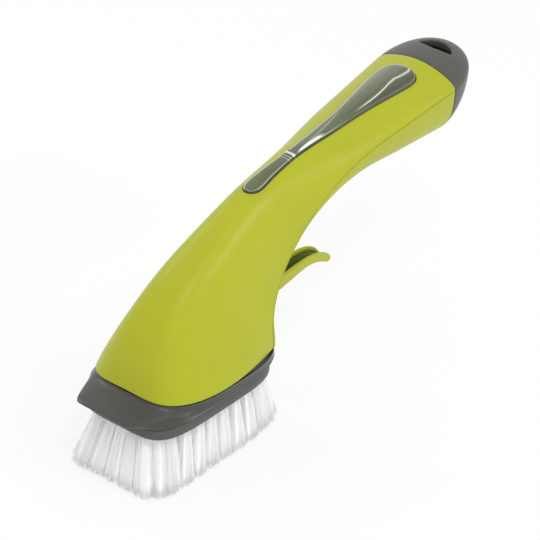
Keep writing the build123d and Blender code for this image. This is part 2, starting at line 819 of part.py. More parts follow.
def hanging_hole():
    """Half-moon prism along Z through the cap."""
    x = cap_seam_x + hole_distance + hole_inner_sagitta
    low = cap_seam_z - 2 * grip_belly
    tips = [Vector(x, hole_half_width, low), Vector(x, -hole_half_width, low)]
    inner = Vector(x - hole_inner_sagitta, 0, low)
    outer = Vector(x + hole_outer_sagitta, 0, low)
    edges = [Edge.make_three_point_arc(tips[0], inner, tips[1]),
             Edge.make_three_point_arc(tips[1], outer, tips[0])]
    return Solid.extrude(Face(Wire(edges)), Vector(0, 0, 4 * grip_belly))


def make_cap():
    shares = [0, 0.2, 0.4, 0.58, 0.73, 0.85, 0.93, 0.98, 0.998]
    dome = Solid.make_loft([cap_section(share, 0) for share in shares])
    dome -= neck_plane(fit_gap) * (Pos(0, 0, -grip_belly) * Box(
        4 * grip_belly, 4 * grip_belly, 2 * grip_belly))
    depth = cap_cavity_depth / cap_length
    cavity = Solid.make_loft([cap_section(depth * k / 2, cap_wall) for k in range(3)])
    return dome - cavity - hanging_hole()


def make_plug():
    """Stopper inside the cap that closes the filler neck."""
    top = cap_cavity_depth
    radius = neck_bore - plug_gap
    low = neck_length - plug_length
    body = Solid.make_cylinder(radius, top - low, neck_plane(low))
    flange_low = neck_length + fit_gap
    body += Solid.make_cylinder(neck_bore + neck_wall, plug_flange, neck_plane(flange_low))
    return body - Solid.make_torus(ring_radius, ring_section / 2 + running_gap, ring_plane())


ring_radius = neck_bore - running_gap - ring_section / 2


def ring_plane():
    return neck_plane(neck_length - plug_length / 2)


def make_cap_ring():
    """Ring in the plug's groove that seals against the neck's bore."""
    return Solid.make_torus(ring_radius, ring_section / 2, ring_plane())


def write(name, shape):
    export_step(shape, f"parts/{name}.step")


def main():
    os.makedirs("parts", exist_ok=True)
    core = casing_solid(wall, -1, overrun)
    upper, lower = make_casing(core)
    write("upper_shell", upper)
    write("lower_shell", lower)
    write("soap_window", make_window(core))
    write("soap_tank", make_tank())
    write("filler_neck", make_filler_neck())
    write("outlet_tube", make_tube())
    write("head_collar", make_collar(make_rim()))
    write("bristle_plate", make_plate())
    names = ("front_bristles", "middle_bristles", "rear_bristles")
    for name, shape in zip(names, make_bristles()):
        write(name, shape)
    write("valve_housing", make_housing())
    write("outlet_nozzle", make_nozzle())
    write("valve_plunger", make_plunger())
    write("valve_disc", make_valve_disc())
    write("stem_seal_ring", make_stem_ring())
    write("valve_spring", make_spring())
    write("trigger_lever", make_lever())
    write("lever_pin", make_pin())
    write("pin_retainers", make_retainers())
    write("mechanism_frame", make_frame())
    write("frame_screws", make_screws())
    write("end_cap", make_cap())
    write("cap_plug", make_plug())
    write("cap_seal_ring", make_cap_ring())


main()
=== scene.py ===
import math
import random

import bpy
import numpy as np
from mathutils import Matrix, Vector
from mathutils.bvhtree import BVHTree


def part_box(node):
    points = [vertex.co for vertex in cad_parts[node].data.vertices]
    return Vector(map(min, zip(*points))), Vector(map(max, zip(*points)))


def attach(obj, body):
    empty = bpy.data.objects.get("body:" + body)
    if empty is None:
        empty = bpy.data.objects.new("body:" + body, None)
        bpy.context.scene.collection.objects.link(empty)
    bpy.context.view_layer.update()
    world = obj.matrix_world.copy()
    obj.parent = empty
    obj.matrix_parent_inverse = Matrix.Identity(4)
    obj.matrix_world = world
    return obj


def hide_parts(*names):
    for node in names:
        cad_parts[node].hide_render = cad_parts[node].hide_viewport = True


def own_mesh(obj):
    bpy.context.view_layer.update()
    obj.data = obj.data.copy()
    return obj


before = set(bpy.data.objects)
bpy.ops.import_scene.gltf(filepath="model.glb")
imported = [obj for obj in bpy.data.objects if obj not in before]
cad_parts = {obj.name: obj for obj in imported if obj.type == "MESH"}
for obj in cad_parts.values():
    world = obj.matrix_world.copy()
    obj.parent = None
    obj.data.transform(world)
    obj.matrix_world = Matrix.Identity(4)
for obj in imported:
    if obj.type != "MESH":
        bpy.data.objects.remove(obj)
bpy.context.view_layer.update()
MM = 0.001

# Sizes in millimetres, the same as the solids'
FRONT_X, REAR_X, PARTING_X, CAP_X = -106.2, -26.7, -35.1, 94.2
HEAD_LENGTH = 79.5
MIDDLE_X = FRONT_X + 0.53 * HEAD_LENGTH
SEAM_Z, CAP_Z, RIDGE_Z = 41.0, 117.0, 36.8
RUN, RISE, HALF, DEPTH, BELLY = 129.3, 76.0, 21.7, 71.1, 25.3
CROWN_R = 180.0
WALL, PARTING_GAP = 2.0, 0.30
CAP_LENGTH, CAP_RISE = 27.1, 3.9
TILT = math.radians(87)
VALVE_X, PIVOT_X, PIVOT_Z = -56.1, -39.1, 49.5
COLLAR_HOLE_R, PLATE_HOLE_R = 6.5, 3.5
# The casing's sections from the head to the cap, as shares of the sizes above: place along
# and up; tilt in degrees; half width of the upper half low, midway and high; height of the
# upper half and depth of the lower; and how square the upper and the lower half are.
ROWS = np.array([
    (-0.006, -0.079, 0, 1.152, 1.493, 1.309, 1.031, 0.356, 4.0, 2.1),
    (0.000, 0.000, 0, 1.106, 1.438, 1.263, 1.000, 0.332, 4.0, 2.1),
    (0.018, 0.174, 16, 0.966, 0.950, 0.806, 0.859, 0.175, 3.8, 2.2),
    (0.084, 0.359, 36, 0.819, 0.727, 0.636, 0.602, 0.140, 3.2, 2.4),
    (0.186, 0.552, 55, 0.763, 0.652, 0.541, 0.412, 0.164, 2.6, 2.6),
    (0.333, 0.725, 72, 0.763, 0.665, 0.568, 0.248, 0.320, 2.2, 2.8),
    (0.523, 0.855, 82, 0.810, 0.738, 0.666, 0.145, 0.524, 2.0, 3.0),
    (0.744, 0.924, 86, 0.899, 0.854, 0.810, 0.143, 0.752, 1.8, 3.0),
    (1.000, 1.000, 87, 1.000, 0.989, 0.979, 0.114, 1.000, 1.7, 3.0),
])


# ---- meshes ----

def shade_smooth(obj):
    obj.data.polygons.foreach_set("use_smooth", [True] * len(obj.data.polygons))


def make_object(name, points, faces):
    """Smooth object from points in millimetres."""
    mesh = bpy.data.meshes.new(name)
    mesh.from_pydata([tuple(p * MM) for p in np.asarray(points, float)], [], faces)
    mesh.validate()
    mesh.update()
    obj = bpy.data.objects.new(name, mesh)
    bpy.context.scene.collection.objects.link(obj)
    shade_smooth(obj)
    return obj


def points_of(obj):
    """The mesh's points in millimetres."""
    spots = np.empty(len(obj.data.vertices) * 3)
    obj.data.vertices.foreach_get("co", spots)
    return spots.reshape(-1, 3) / MM


def select(objects):
    """Selects these objects alone, with the first one active."""
    for other in bpy.context.selected_objects:
        other.select_set(False)
    for obj in objects:
        obj.select_set(True)
    bpy.context.view_layer.objects.active = objects[0]


def orient(obj):
    """Outward normals on a closed mesh."""
    select([obj])
    bpy.ops.object.mode_set(mode="EDIT")
    bpy.ops.mesh.select_all(action="SELECT")
    bpy.ops.mesh.normals_make_consistent(inside=False)
    bpy.ops.object.mode_set(mode="OBJECT")
    obj.select_set(False)
    return obj


def join(objects):
    select(objects)
    bpy.ops.object.join()
    objects[0].select_set(False)
    return objects[0]


def shade_values(obj, name, values):
    """One number for each point of the mesh, from which its material paints shade or highlights.
    """
    layer = obj.data.attributes.new(name, "FLOAT", "POINT")
    layer.data.foreach_set("value", np.asarray(values, np.float32))


def sharpen(obj, degrees):
    """Smooth shading, with hard edges only where faces meet at more than this angle."""
    obj.data.set_sharp_from_angle(angle=math.radians(degrees))


def apply_modifier(obj, kind, **settings):
    modifier = obj.modifiers.new(kind.title(), kind)
    for key, value in settings.items():
        setattr(modifier, key, value)
    bpy.context.view_layer.objects.active = obj
    bpy.ops.object.modifier_apply(modifier=modifier.name)


def cut(obj, tool):
    """Takes the tool out of the object, and the tool itself away."""
    apply_modifier(obj, "BOOLEAN", operation="DIFFERENCE", object=tool, solver="EXACT")
    bpy.data.objects.remove(tool)
    shade_smooth(obj)
    return obj


def remesh(obj, voxel, rounds):
    """Even faces of about the voxel's size, with corners softened in some rounds."""
    apply_modifier(obj, "REMESH", mode="VOXEL", voxel_size=voxel * MM, use_smooth_shade=True)
    apply_modifier(obj, "SMOOTH", factor=0.5, iterations=rounds)


def ring_faces(first, rings, sides, down=False):
    """Quads between rings of points that are numbered from the first one on; rings that run
    downwards need the other turn."""
    faces = []
    for k in range(rings - 1):
        a, b = first + k * sides, first + (k + 1) * sides
        for j in range(sides):
            n = (j + 1) % sides
            faces.append((a + j, b + j, b + n, a + n) if down else (a + j, a + n, b + n, b + j))
    return faces


def rod_faces(first, rings, sides):
    """Faces of a rod that runs downwards, with both ends closed."""
    last = first + (rings - 1) * sides
    return [*ring_faces(first, rings, sides, down=True), tuple(range(first, first + sides)),
            tuple(reversed(range(last, last + sides)))]


def loops_to_mesh(name, loops):
    """Closed skin over loops with the same number of points, with a fan on each end loop."""
    loops = np.array(loops, float)
    count = len(loops[0])
    points = list(loops.reshape(-1, 3))
    faces = ring_faces(0, len(loops), count)
    for k in (0, len(loops) - 1):
        points.append(np.mean(loops[k], axis=0))
        for j in range(count):
            faces.append((k * count + j, k * count + (j + 1) % count, len(points) - 1))
    return orient(make_object(name, points, faces))


def prism(name, shape, low, high):
    """Upright prism over an outline of (x, y)."""
    return loops_to_mesh(name, [[(x, y, z) for x, y in shape] for z in (low, high)])


def slab(name, shape, half):
    """Side outline of (x, z), given a thickness along Y and small bevels."""
    bevel = 0.25
    flat = np.array(shape, float)
    small = flat.mean(axis=0) + (flat - flat.mean(axis=0)) * (1 - bevel / 3)
    return loops_to_mesh(name, [
        [(x, y, z) for x, z in ring] for ring, y in
        ((small, -half), (flat, bevel - half), (flat, half - bevel), (small, half))])


# ---- curves ----

def smooth(value, low, high):
    t = min(max((value - low) / (high - low), 0), 1)
    return t * t * (3 - 2 * t)


def bell(value, width):
    return math.exp(-(value / width) ** 2)


def eased(count, waves=1, amount=1.0):
    """Shares from 0 to 1 that crowd together where each wave begins and ends."""
    u = np.linspace(0, 1, count)
    return u - np.sin(2 * math.pi * waves * u) / (2 * math.pi * waves) * amount


def circle(x, y, radius):
    angles = np.linspace(0, 2 * math.pi, 48, endpoint=False)
    return np.column_stack([x + radius * np.cos(angles), y + radius * np.sin(angles)])


def arc_of(line):
    """Distance along a line of points, from 0."""
    return np.concatenate([[0], np.cumsum(np.linalg.norm(np.diff(line, axis=0), axis=1))])


def points_at(line, arc, at):
    """Points of the line at these distances along its arc."""
    return np.stack([np.interp(at, arc, line[:, i]) for i in range(line.shape[1])], -1)


def mirrored(half):
    """Closed loop from a half that begins and ends on the middle line."""
    return np.vstack([half, (half * [1, -1])[-2:0:-1]])


def even_loop(loop, count):
    """Even points round a loop, so that loops of different sizes line up point by point."""
    closed = np.vstack([loop, loop[:1]])
    arc = arc_of(closed)
    return points_at(closed, arc, np.linspace(0, arc[-1], count + 1)[:-1])


def spline_points(points, count, closed=True):
    """Even points on a smooth closed or open curve through these points."""
    p = np.asarray(points, float)
    if closed:
        p = np.vstack([p[-1:], p, p[:2]])
    else:
        p = np.vstack([2 * p[0] - p[1], p, 2 * p[-1] - p[-2]])
    out = []
    for k in range(1, len(p) - 2):
        a, b, c, d = p[k - 1], p[k], p[k + 1], p[k + 2]
        for t in np.linspace(0, 1, 16, endpoint=False):
            out.append(0.5 * (2 * b + (c - a) * t + (2 * a - 5 * b + 4 * c - d) * t * t
                              + (3 * b - a - 3 * c + d) * t ** 3))
    out.append(p[-2] if not closed else out[0])
    out = np.array(out)
    arc = arc_of(out)
    return points_at(out, arc, np.linspace(0, arc[-1], count + (1 if closed else 0))[:count])


# ---- casing surface ----

# Angles of the points in a quarter of a section
THETA = math.pi / 2 * eased(260)
# Radius of the rounded borders, and the distances from a border at which the skin has points
ROUND = 0.26
EDGE = np.array([0, 0.03, 0.08, 0.16, ROUND, 0.8])
SKIN_ROWS, SKIN_COLUMNS, END_ROW = 150, 46, 0.9
SEAM_LIFT = 0.16

row_places = np.concatenate([[0], np.cumsum(np.hypot(np.diff(ROWS[:, 0]) * RUN,
                                                     np.diff(ROWS[:, 1]) * RISE))])
row_places /= row_places[-1]
row_gaps = np.diff(row_places)
row_steps = np.diff(ROWS, axis=0) / row_gaps[:, None]
row_slopes = np.vstack([
    row_steps[:1],
    (row_steps[:-1] * row_gaps[1:, None] + row_steps[1:] * row_gaps[:-1, None])
    / (row_gaps[:-1] + row_gaps[1:])[:, None],
    row_steps[-1:]])


def row_at(share):
    """The casing's section at a share of its length, on a smooth curve through ROWS."""
    k = int(np.clip(np.searchsorted(row_places, share, side="right") - 1, 0,
                    len(row_gaps) - 1))
    gap = row_gaps[k]
    t = (share - row_places[k]) / gap
    return (ROWS[k] * (1 + 2 * t) * (1 - t) ** 2 + row_slopes[k] * gap * t * (1 - t) ** 2
            + ROWS[k + 1] * t * t * (3 - 2 * t)
            + row_slopes[k + 1] * gap * t * t * (t - 1))


def half_section(row, side):
    """Half widths, height and squareness of a section's upper or lower half."""
    if side > 0:
        return (row[3], row[4], row[5]), row[6] * DEPTH, row[8]
    return (row[3],) * 3, row[7] * BELLY, row[9]


def quarter(widths, power):
    """Rise, reach and half width at each THETA, from the parting line to the apex."""
    rise, reach = np.sin(THETA) ** (2 / power), np.cos(THETA) ** (2 / power)
    reach[-1] = 0
    low, mid, high = widths
    return rise, reach, low * (1 - rise) ** 2 + 2 * mid * rise * (1 - rise) + high * rise ** 2


def arch(y, v):
    """A half from +Y over the apex to -Y, from its quarter on +Y."""
    return np.concatenate([y, -y[-2::-1]]), np.concatenate([v, v[-2::-1]])


def profile(widths, height, power, inset):
    """A quarter of a section, close at the parting line's rounded edge and then even."""
    rise, reach, share = quarter(widths, power)
    start = PARTING_GAP / 2
    y = (share * HALF - inset) * reach
    v = start + (height - inset - start) * rise
    arc = np.concatenate([[0], np.cumsum(np.hypot(np.diff(y), np.diff(v)))])
    at = np.concatenate([EDGE, np.linspace(EDGE[-1], arc[-1], SKIN_COLUMNS)[1:]])
    return np.interp(at, arc, y), np.interp(at, arc, v)


def skin(side, inset, shares):
    """Points of one half of the casing for each share, from +Y over the apex to -Y."""
    grid = []
    for share in shares:
        row = row_at(share)
        y, v = arch(*profile(*half_section(row, side), inset))
        angle = math.radians(row[2])
        x = PARTING_X + row[0] * RUN - math.cos(angle) * v * side
        z = SEAM_Z + row[1] * RISE + math.sin(angle) * v * side
        grid.append(np.stack([x, y, z], -1))
    return np.array(grid)


def seam_top(y):
    """Height of the casing's crowned foot."""
    return SEAM_Z + SEAM_LIFT - y * y / (2 * CROWN_R)


def trimmed(side, inset):
    """The half's skin from the crowned seam to the cap, with close rows at both ends."""
    dense = skin(side, inset, np.linspace(0, 1, 300) ** 1.15)
    ends = np.concatenate([EDGE[:-1], [END_ROW]])
    grid = np.zeros((SKIN_ROWS + 2 * len(ends), dense.shape[1], 3))
    for j in range(dense.shape[1]):
        line = dense[:, j]
        above = line[:, 2] - seam_top(line[:, 1])
        k = int(np.argmax(above > 0))
        t = -above[k - 1] / (above[k] - above[k - 1])
        line = np.vstack([line[k - 1] + (line[k] - line[k - 1]) * t, line[k:]])
        arc = arc_of(line)
        even = np.linspace(END_ROW, arc[-1] - END_ROW, SKIN_ROWS + 2)[1:-1]
        grid[:, j] = points_at(line, arc, np.concatenate([ends, even, arc[-1] - ends[::-1]]))
    return grid


def grid_normals(grid):
    normal = np.cross(np.gradient(grid, axis=0), np.gradient(grid, axis=1))
    return normal / np.maximum(np.linalg.norm(normal, axis=-1, keepdims=True), 1e-9)


def rounded(grid):
    """Rolls the outer skin's four borders over by the edge radius."""
    normal = grid_normals(grid)
    centre = grid.mean(axis=1, keepdims=True)
    sign = np.sign(((grid - centre) * normal).sum(-1, keepdims=True).mean())
    along = np.concatenate([np.zeros((1, grid.shape[1])),
                            np.cumsum(np.linalg.norm(np.diff(grid, axis=0), axis=-1), 0)])
    across = np.concatenate([np.zeros((grid.shape[0], 1)),
                             np.cumsum(np.linalg.norm(np.diff(grid, axis=1), axis=-1), 1)], 1)
    drop = 0
    for d in (along, along[-1:] - along, across, across[:, -1:] - across):
        inner = np.clip(ROUND - d, 0, ROUND)
        drop = drop + ROUND - np.sqrt(np.maximum(ROUND ** 2 - inner ** 2, 0))
    return grid - normal * sign * np.minimum(drop, 2 * ROUND)[..., None]


def shell(name, side):
    """One half of the casing, and its outer skin before the borders are rolled over."""
    outer, inner = trimmed(side, 0.0), trimmed(side, WALL)
    rows, columns = outer.shape[:2]
    count = 2 * columns
    points = np.concatenate([rounded(outer), inner[:, ::-1]], axis=1).reshape(-1, 3)
    faces = ring_faces(0, rows, count)
    for k in (0, (rows - 1) * count):
        for j in range(columns - 1):
            faces.append((k + j, k + j + 1, k + count - 2 - j, k + count - 1 - j))
    return orient(make_object(name, points, faces)), outer


# ---- window ----

# Outline of a table knife: share of the length, and of the half width
KNIFE = np.array([(0.000, 0.00), (0.005, 0.20), (0.018, 0.36), (0.040, 0.45), (0.070, 0.46),
                  (0.110, 0.42), (0.170, 0.38), (0.240, 0.345), (0.300, 0.345), (0.380, 0.38),
                  (0.460, 0.435), (0.560, 0.505), (0.650, 0.61), (0.740, 0.755),
                  (0.830, 0.90), (0.890, 0.98), (0.930, 0.995), (0.963, 0.90), (0.985, 0.64),
                  (0.996, 0.33), (1.000, 0.00)])
WINDOW_X, WINDOW_LENGTH, WINDOW_HALF, WINDOW_GAP = -31.6, 116.6, 9.6, 0.12
LENS_ROWS, LENS_COLUMNS, LENS_DEPTH, ABOVE_ALL = 620, 51, 1.6, 200
# Distances from the lens's edge at which its bevelled rim has points
RIM_STEPS = np.array([0, 0.10, 0.22, 0.36, 0.50, 0.64, 0.78, 0.90, 1.0, 1.1, 1.22, 1.36, 1.55])
RIM_HALF = 2.2
BOLSTER_X = -2.4
# Rings of the bolster: place, width and height; and the places of the painted shade lines between
# them
RINGS = ((-4.9, 0.34, 0.4), (-3.4, 0.34, 0.4), (-1.3, 1.1, 0.8))
RING_LINES = (-4.15, -2.65, 0.7)
# Crease along the knife's long part: place, and share of the half width towards -Y
CREASE = np.array([(4, -0.20), (12, -0.35), (20, -0.50), (31, -0.60), (36, -0.62),
                   (43, -0.56), (52, -0.54), (57, -0.50), (63, -0.40), (67, -0.31),
                   (72, -0.25), (80, -0.38), (85, -0.50)])


def knife_loop(grow, count):
    x = WINDOW_X + WINDOW_LENGTH / 2 + (KNIFE[:, 0] - 0.5) * (WINDOW_LENGTH + 2 * grow)
    y = KNIFE[:, 1] * (WINDOW_HALF + grow)
    return spline_points(mirrored(np.stack([x, y], -1)), count)


def half_width_at(x, loop):
    """Half width of the knife outline at x, from its loop's upper half."""
    top = loop[loop[:, 1] >= 0]
    top = top[np.argsort(top[:, 0])]
    return np.interp(x, top[:, 0], top[:, 1])


def relief(x, y, half, edge):
    """Height of the lens over the casing, and how much painted highlight or painted shade its
    clear plastic gets there: a bevelled rim, a flat blade, three rings and a creased long part."""
    t = y / max(half, 0.01)
    inner = smooth(edge, 0.95, 1.5)
    height = -0.35 + 1.15 * min(edge / 0.85, 1) ** 0.8 - 0.35 * inner
    # a painted highlight line inside a painted shade line along the rim, weaker on the near side
    near = smooth(x, 20, 34) * (y < 0) * (1 - smooth(x, 80, 84))
    light = (0.62 - 0.45 * near) * bell(edge - 1.12, 0.20)
    light -= (0.9 - 0.5 * near) * (1 - smooth(edge, 0.55, 0.95))
    if x > BOLSTER_X:
        # the crease, with a painted highlight line along it
        creased = smooth(x, 26, 44)
        crease = np.interp(x, CREASE[:, 0], CREASE[:, 1])
        fall = (crease - t) / (crease + 1) if t < crease else (t - crease) / (1 - crease)
        height += 0.75 * min(half / 7, 1) * (1 - math.sqrt(fall ** 2 + 0.0009)) * creased * inner
        far = smooth(x, 64, 76)
        light += (0.95 - 0.3 * far) * bell((t - crease) * half, 0.3 + 0.35 * far) \
            * creased * inner * smooth(x, 40, 52)
        # soft streaks of painted shade and painted highlight beside it
        light -= 0.30 * bell((t - crease) * half - 1.9, 0.9) * creased * inner
        light -= 0.28 * bell((t + 0.70) * half, 0.55) * smooth(x, 50, 62) * inner
        light += 0.10 * bell((t - 0.72) * half, 0.8) * smooth(x, 20, 50) * inner
        # a second, rounded crease that crosses the narrow part, with a painted highlight line
        # along it
        second = -0.45 + 0.9 * (x - 6) / 30
        slope = t - second if t > second else 0.35 * (second - t)
        rounded_part = smooth(x, 2, 8) * (1 - smooth(x, 30, 42))
        height += 0.55 * (1 - min(slope, 1)) * rounded_part * inner
        light += 0.35 * bell((t - second) * half, 0.28) * rounded_part * inner
        # a painted highlight patch next to the bolster, and painted shade on the darker side of
        # the crease
        patch = smooth(x, 1.5, 5) * (1 - smooth(x, 15, 21))
        light += 1.2 * patch * smooth(-t, 0.25, 0.5) * inner
        if t < crease:
            light -= 0.35 * creased * smooth(crease - t, 0.02, 0.2) * inner
    # painted highlights on the bolster's rings, and painted shade lines between them
    for place, width, tall in RINGS:
        height += tall * bell(x - place, width) * inner
        light += (0.9 if tall > 0.5 else 0.7) * bell(x - place, width * 0.7)
    for place in RING_LINES:
        light -= 0.7 * bell(x - place, 0.3)
    return height, min(max(light, -1), 1)


def make_window(tree):
    """Smoked lens that follows the casing, with a rim, a ringed bolster and a crease, and with
    painted highlights and painted shade kept on its points.
    """
    loop = knife_loop(0, 900)
    lo, hi = loop[:, 0].min(), loop[:, 0].max()
    xs = lo + 0.02 + (hi - lo - 0.04) * eased(LENS_ROWS, amount=0.8)
    top, low, painted_light = [], [], []
    for x in xs:
        half = half_width_at(x, loop)
        side = half - RIM_STEPS * min(1, half / RIM_HALF)
        ys = np.concatenate([-side, np.linspace(-side[-1], side[-1], LENS_COLUMNS)[1:-1],
                             side[::-1]])
        for y in ys:
            hit, normal, _, _ = tree.ray_cast(Vector((x, y, ABOVE_ALL)), Vector((0, 0, -1)))
            height, light = relief(x, y, half, min(half - abs(y), x - lo, hi - x))
            top.append(np.array(hit) + np.array(normal) * height)
            low.append(np.array(hit) - np.array(normal) * LENS_DEPTH)
            painted_light.append(light)
    rows, columns = len(xs), len(ys)
    base = rows * columns
    faces = []
    for i in range(rows - 1):
        for j in range(columns - 1):
            a = i * columns + j
            quad = (a, a + columns, a + columns + 1, a + 1)
            faces.append(quad)
            faces.append(tuple(base + q for q in quad[::-1]))
    for i in range(rows - 1):
        for j in (0, columns - 1):
            a, b = i * columns + j, (i + 1) * columns + j
            faces.append((a, b, base + b, base + a))
    for i in (0, rows - 1):
        for j in range(columns - 1):
            a = i * columns + j
            faces.append((a, a + 1, base + a + 1, base + a))
    lens = make_object("window_lens", top + low, faces)
    # painted highlights and painted shade for the lens's material; its underside is painted
    # darkest
    shade_values(lens, "painted_light", painted_light + [-1] * base)
    return orient(lens)


# ---- collar and plate ----

# Front, rear, half width, and how square the front and the rear are
SEAM_LOOP = (FRONT_X, REAR_X, 27.8, 3.06, 3.45)
RIM_LOOP = (FRONT_X, REAR_X, 27.8 + 0.5, 3.06, 3.45)
RIDGE_LOOP = (FRONT_X - 1.75, REAR_X + 1.5, 28.3, 3.7, 3.3)
PLATE_LOOP = (FRONT_X - 4.4, REAR_X, 25.7, 4.8, 3.9)
LIP_REACH, LIP_HALF, LIP_BLEND = 13.35, 13.0, 10.5
RIM_Z, COLLAR_FLOOR_Z, COLLAR_LOW_Z = SEAM_Z - 0.40, 33.4, 30.4


def outline(shape, grow=0.0, lip=0.0, count=200):
    """Closed outline of the head as (x, y), even along its length, starting at the front."""
    front, rear, half, square_front, square_rear = shape
    front, rear, half = front - grow, rear + grow, half + grow
    angle = math.pi * eased(900, 2, 0.98)
    c, s = np.cos(angle), np.abs(np.sin(angle))
    power = np.where(c > 0, 2 / square_front, 2 / square_rear)
    y = half * s ** power
    reach = np.where(c > 0, MIDDLE_X - front, MIDDLE_X - rear)
    x = MIDDLE_X - reach * np.abs(c) ** power
    fade = np.clip((y - LIP_HALF) / LIP_BLEND, 0, 1)
    x = np.where(c > 0, x - lip * (1 - fade * fade * (3 - 2 * fade)), x)
    return even_loop(mirrored(np.stack([x, y], -1)), count)


def lift(loop, z, crown=1.0):
    """The loop at a height, lower towards its sides where it is crowned."""
    return np.column_stack([loop, z - crown * loop[:, 1] ** 2 / (2 * CROWN_R)])


def make_collar():
    seam, ridge = outline(RIM_LOOP, 0.2), outline(RIDGE_LOOP, lip=LIP_REACH)
    plate = outline(PLATE_LOOP, 0.2)
    # inside, from the floor up to the rim
    inner = outline(SEAM_LOOP, -2.6)
    loops = [lift(outline(SEAM_LOOP, -2.8), COLLAR_FLOOR_Z - 1, 0), lift(inner, COLLAR_FLOOR_Z, 0),
             lift(inner, RIM_Z - 0.55)]
    # a groove inside the rim keeps the seam dark
    for grow, drop in ((-2.3, 0.3), (-1.8, 1.0), (-0.5, 1.0), (-0.2, 0.12), (0.02, 0),
                       (0.15, 0.06)):
        loops.append(lift(outline(RIM_LOOP, grow), RIM_Z - drop))
    upper = RIM_Z - 0.22
    loops.append(lift(seam, upper))
    # the concave neck outside
    for t in np.linspace(0.06, 1, 17):
        weight = t ** 2.0
        loop = seam * (1 - weight) + ridge * weight
        pinch = 0.3 * math.sin(math.pi * min(t / 0.9, 1)) * (1 - t)
        away = loop - [MIDDLE_X, 0]
        away /= np.linalg.norm(away, axis=1, keepdims=True)
        loops.append(lift(loop - away * pinch, upper + (RIDGE_Z + 0.12 - upper) * t))
    # the ridge, and the skirt under it
    for grow, drop in ((0.09, 0.02), (0.17, 0.14), (0.20, 0.30), (0.17, 0.52), (0.05, 0.72),
                       (-0.15, 0.85)):
        loops.append(lift(outline(RIDGE_LOOP, grow, LIP_REACH), RIDGE_Z - drop))
    for t in np.linspace(0.08, 1, 10):
        z = RIDGE_Z - 0.85 + (COLLAR_LOW_Z + 0.2 - RIDGE_Z + 0.85) * t
        weight = t ** 1.2
        loops.append(lift(ridge * (1 - weight) + plate * weight, z, 1 - t))
    loops.append(lift(outline(PLATE_LOOP, -0.15), COLLAR_LOW_Z, 0))
    return cut(loops_to_mesh("collar", loops),
               prism("nozzle_tool", circle(VALVE_X, 0, COLLAR_HOLE_R), 20, 36))


def make_plate():
    loops = [lift(outline(PLATE_LOOP, grow), z, 0) for grow, z in (
        (-0.6, 30.2), (-0.15, 30.2), (0, 30.0), (0, 26.1), (-0.1, 25.55), (-0.35, 25.2),
        (-0.75, 25.02), (-2.0, 25.0), (-2.2, 25.15), (-2.2, 26.4))]
    return cut(loops_to_mesh("plate", loops),
               prism("nozzle_tool", circle(VALVE_X, 0, PLATE_HOLE_R), 20, 36))


# ---- bristles ----

# The flares say how much further out the tips stand than the roots, as shares
TUFT_EDGE, TUFT_PITCH, PLATE_RIM, BACKING_TOP, PLATE_LOW = 3.6, 8.2, 2.2, 26.2, 25.0
VALVE_CLEAR = 5.8
ROOT_Z, CORE_ROOT_R, STRAND_ROOT_R = 25.6, 2.2, 2.35
FLARE_X = FRONT_X + 0.772 * HEAD_LENGTH
LENGTH_FLARE, REAR_FLARE, WIDTH_FLARE, CORNER_FLARE = 0.12, 0.20, 0.09, 0.45
TIP_LENGTH, TIP_WIDTH, TIP_SQUARE, TIP_SHIFT = 4.6, 4.4, 7, -2.1
CORE_SIDES, CORE_LEVELS = 60, (0, 0.2, 0.4, 0.6, 0.8, 0.93)
STRANDS, STRAND_SIDES, STRAND_TAPER = 190, 4, (1, 0.95, 0.88, 0.8)


def tuft_places():
    """Rows of tufts, shorter towards both ends of the head, with one more in each corner."""
    front = PLATE_LOOP[0] + PLATE_RIM + TUFT_EDGE
    rear = PLATE_LOOP[1] - PLATE_RIM - TUFT_EDGE
    half = PLATE_LOOP[2] - PLATE_RIM - TUFT_EDGE
    rows = round((rear - front) / TUFT_PITCH) + 1
    columns = round(2 * half / TUFT_PITCH) + 1
    spots = []
    for i in range(rows):
        x = front + (rear - front) * i / (rows - 1)
        along = abs(2 * i / (rows - 1) - 1)
        reach = half * (1 - (0.45 if 2 * i < rows else 0.30) * along ** 5)
        across = columns - (i == 0)
        for j in range(across):
            y = reach * (2 * j / (across - 1) - 1)
            if abs(x - VALVE_X) > VALVE_CLEAR or abs(y) > VALVE_CLEAR:
                spots.append((x, y))
    ends = sorted({x for x, _ in spots})
    for outer, inner in ((ends[0], ends[1]), (ends[-1], ends[-2])):
        wide = [max(y for x, y in spots if x == end) for end in (outer, inner)]
        spots += [((outer + inner) / 2, side * sum(wide) / 2) for side in (-1.03, 1.03)]
    return spots


def unit(angle):
    return np.array([math.cos(angle), math.sin(angle), 0])


def tip_shape(angle):
    """A tuft is round in the plate and nearly square at its tips, next to its neighbours."""
    c, s = math.cos(angle), math.sin(angle)
    reach = (abs(c) ** TIP_SQUARE + abs(s) ** TIP_SQUARE) ** (-1 / TIP_SQUARE)
    return np.array([TIP_LENGTH * reach * c, TIP_WIDTH * reach * s, 0])


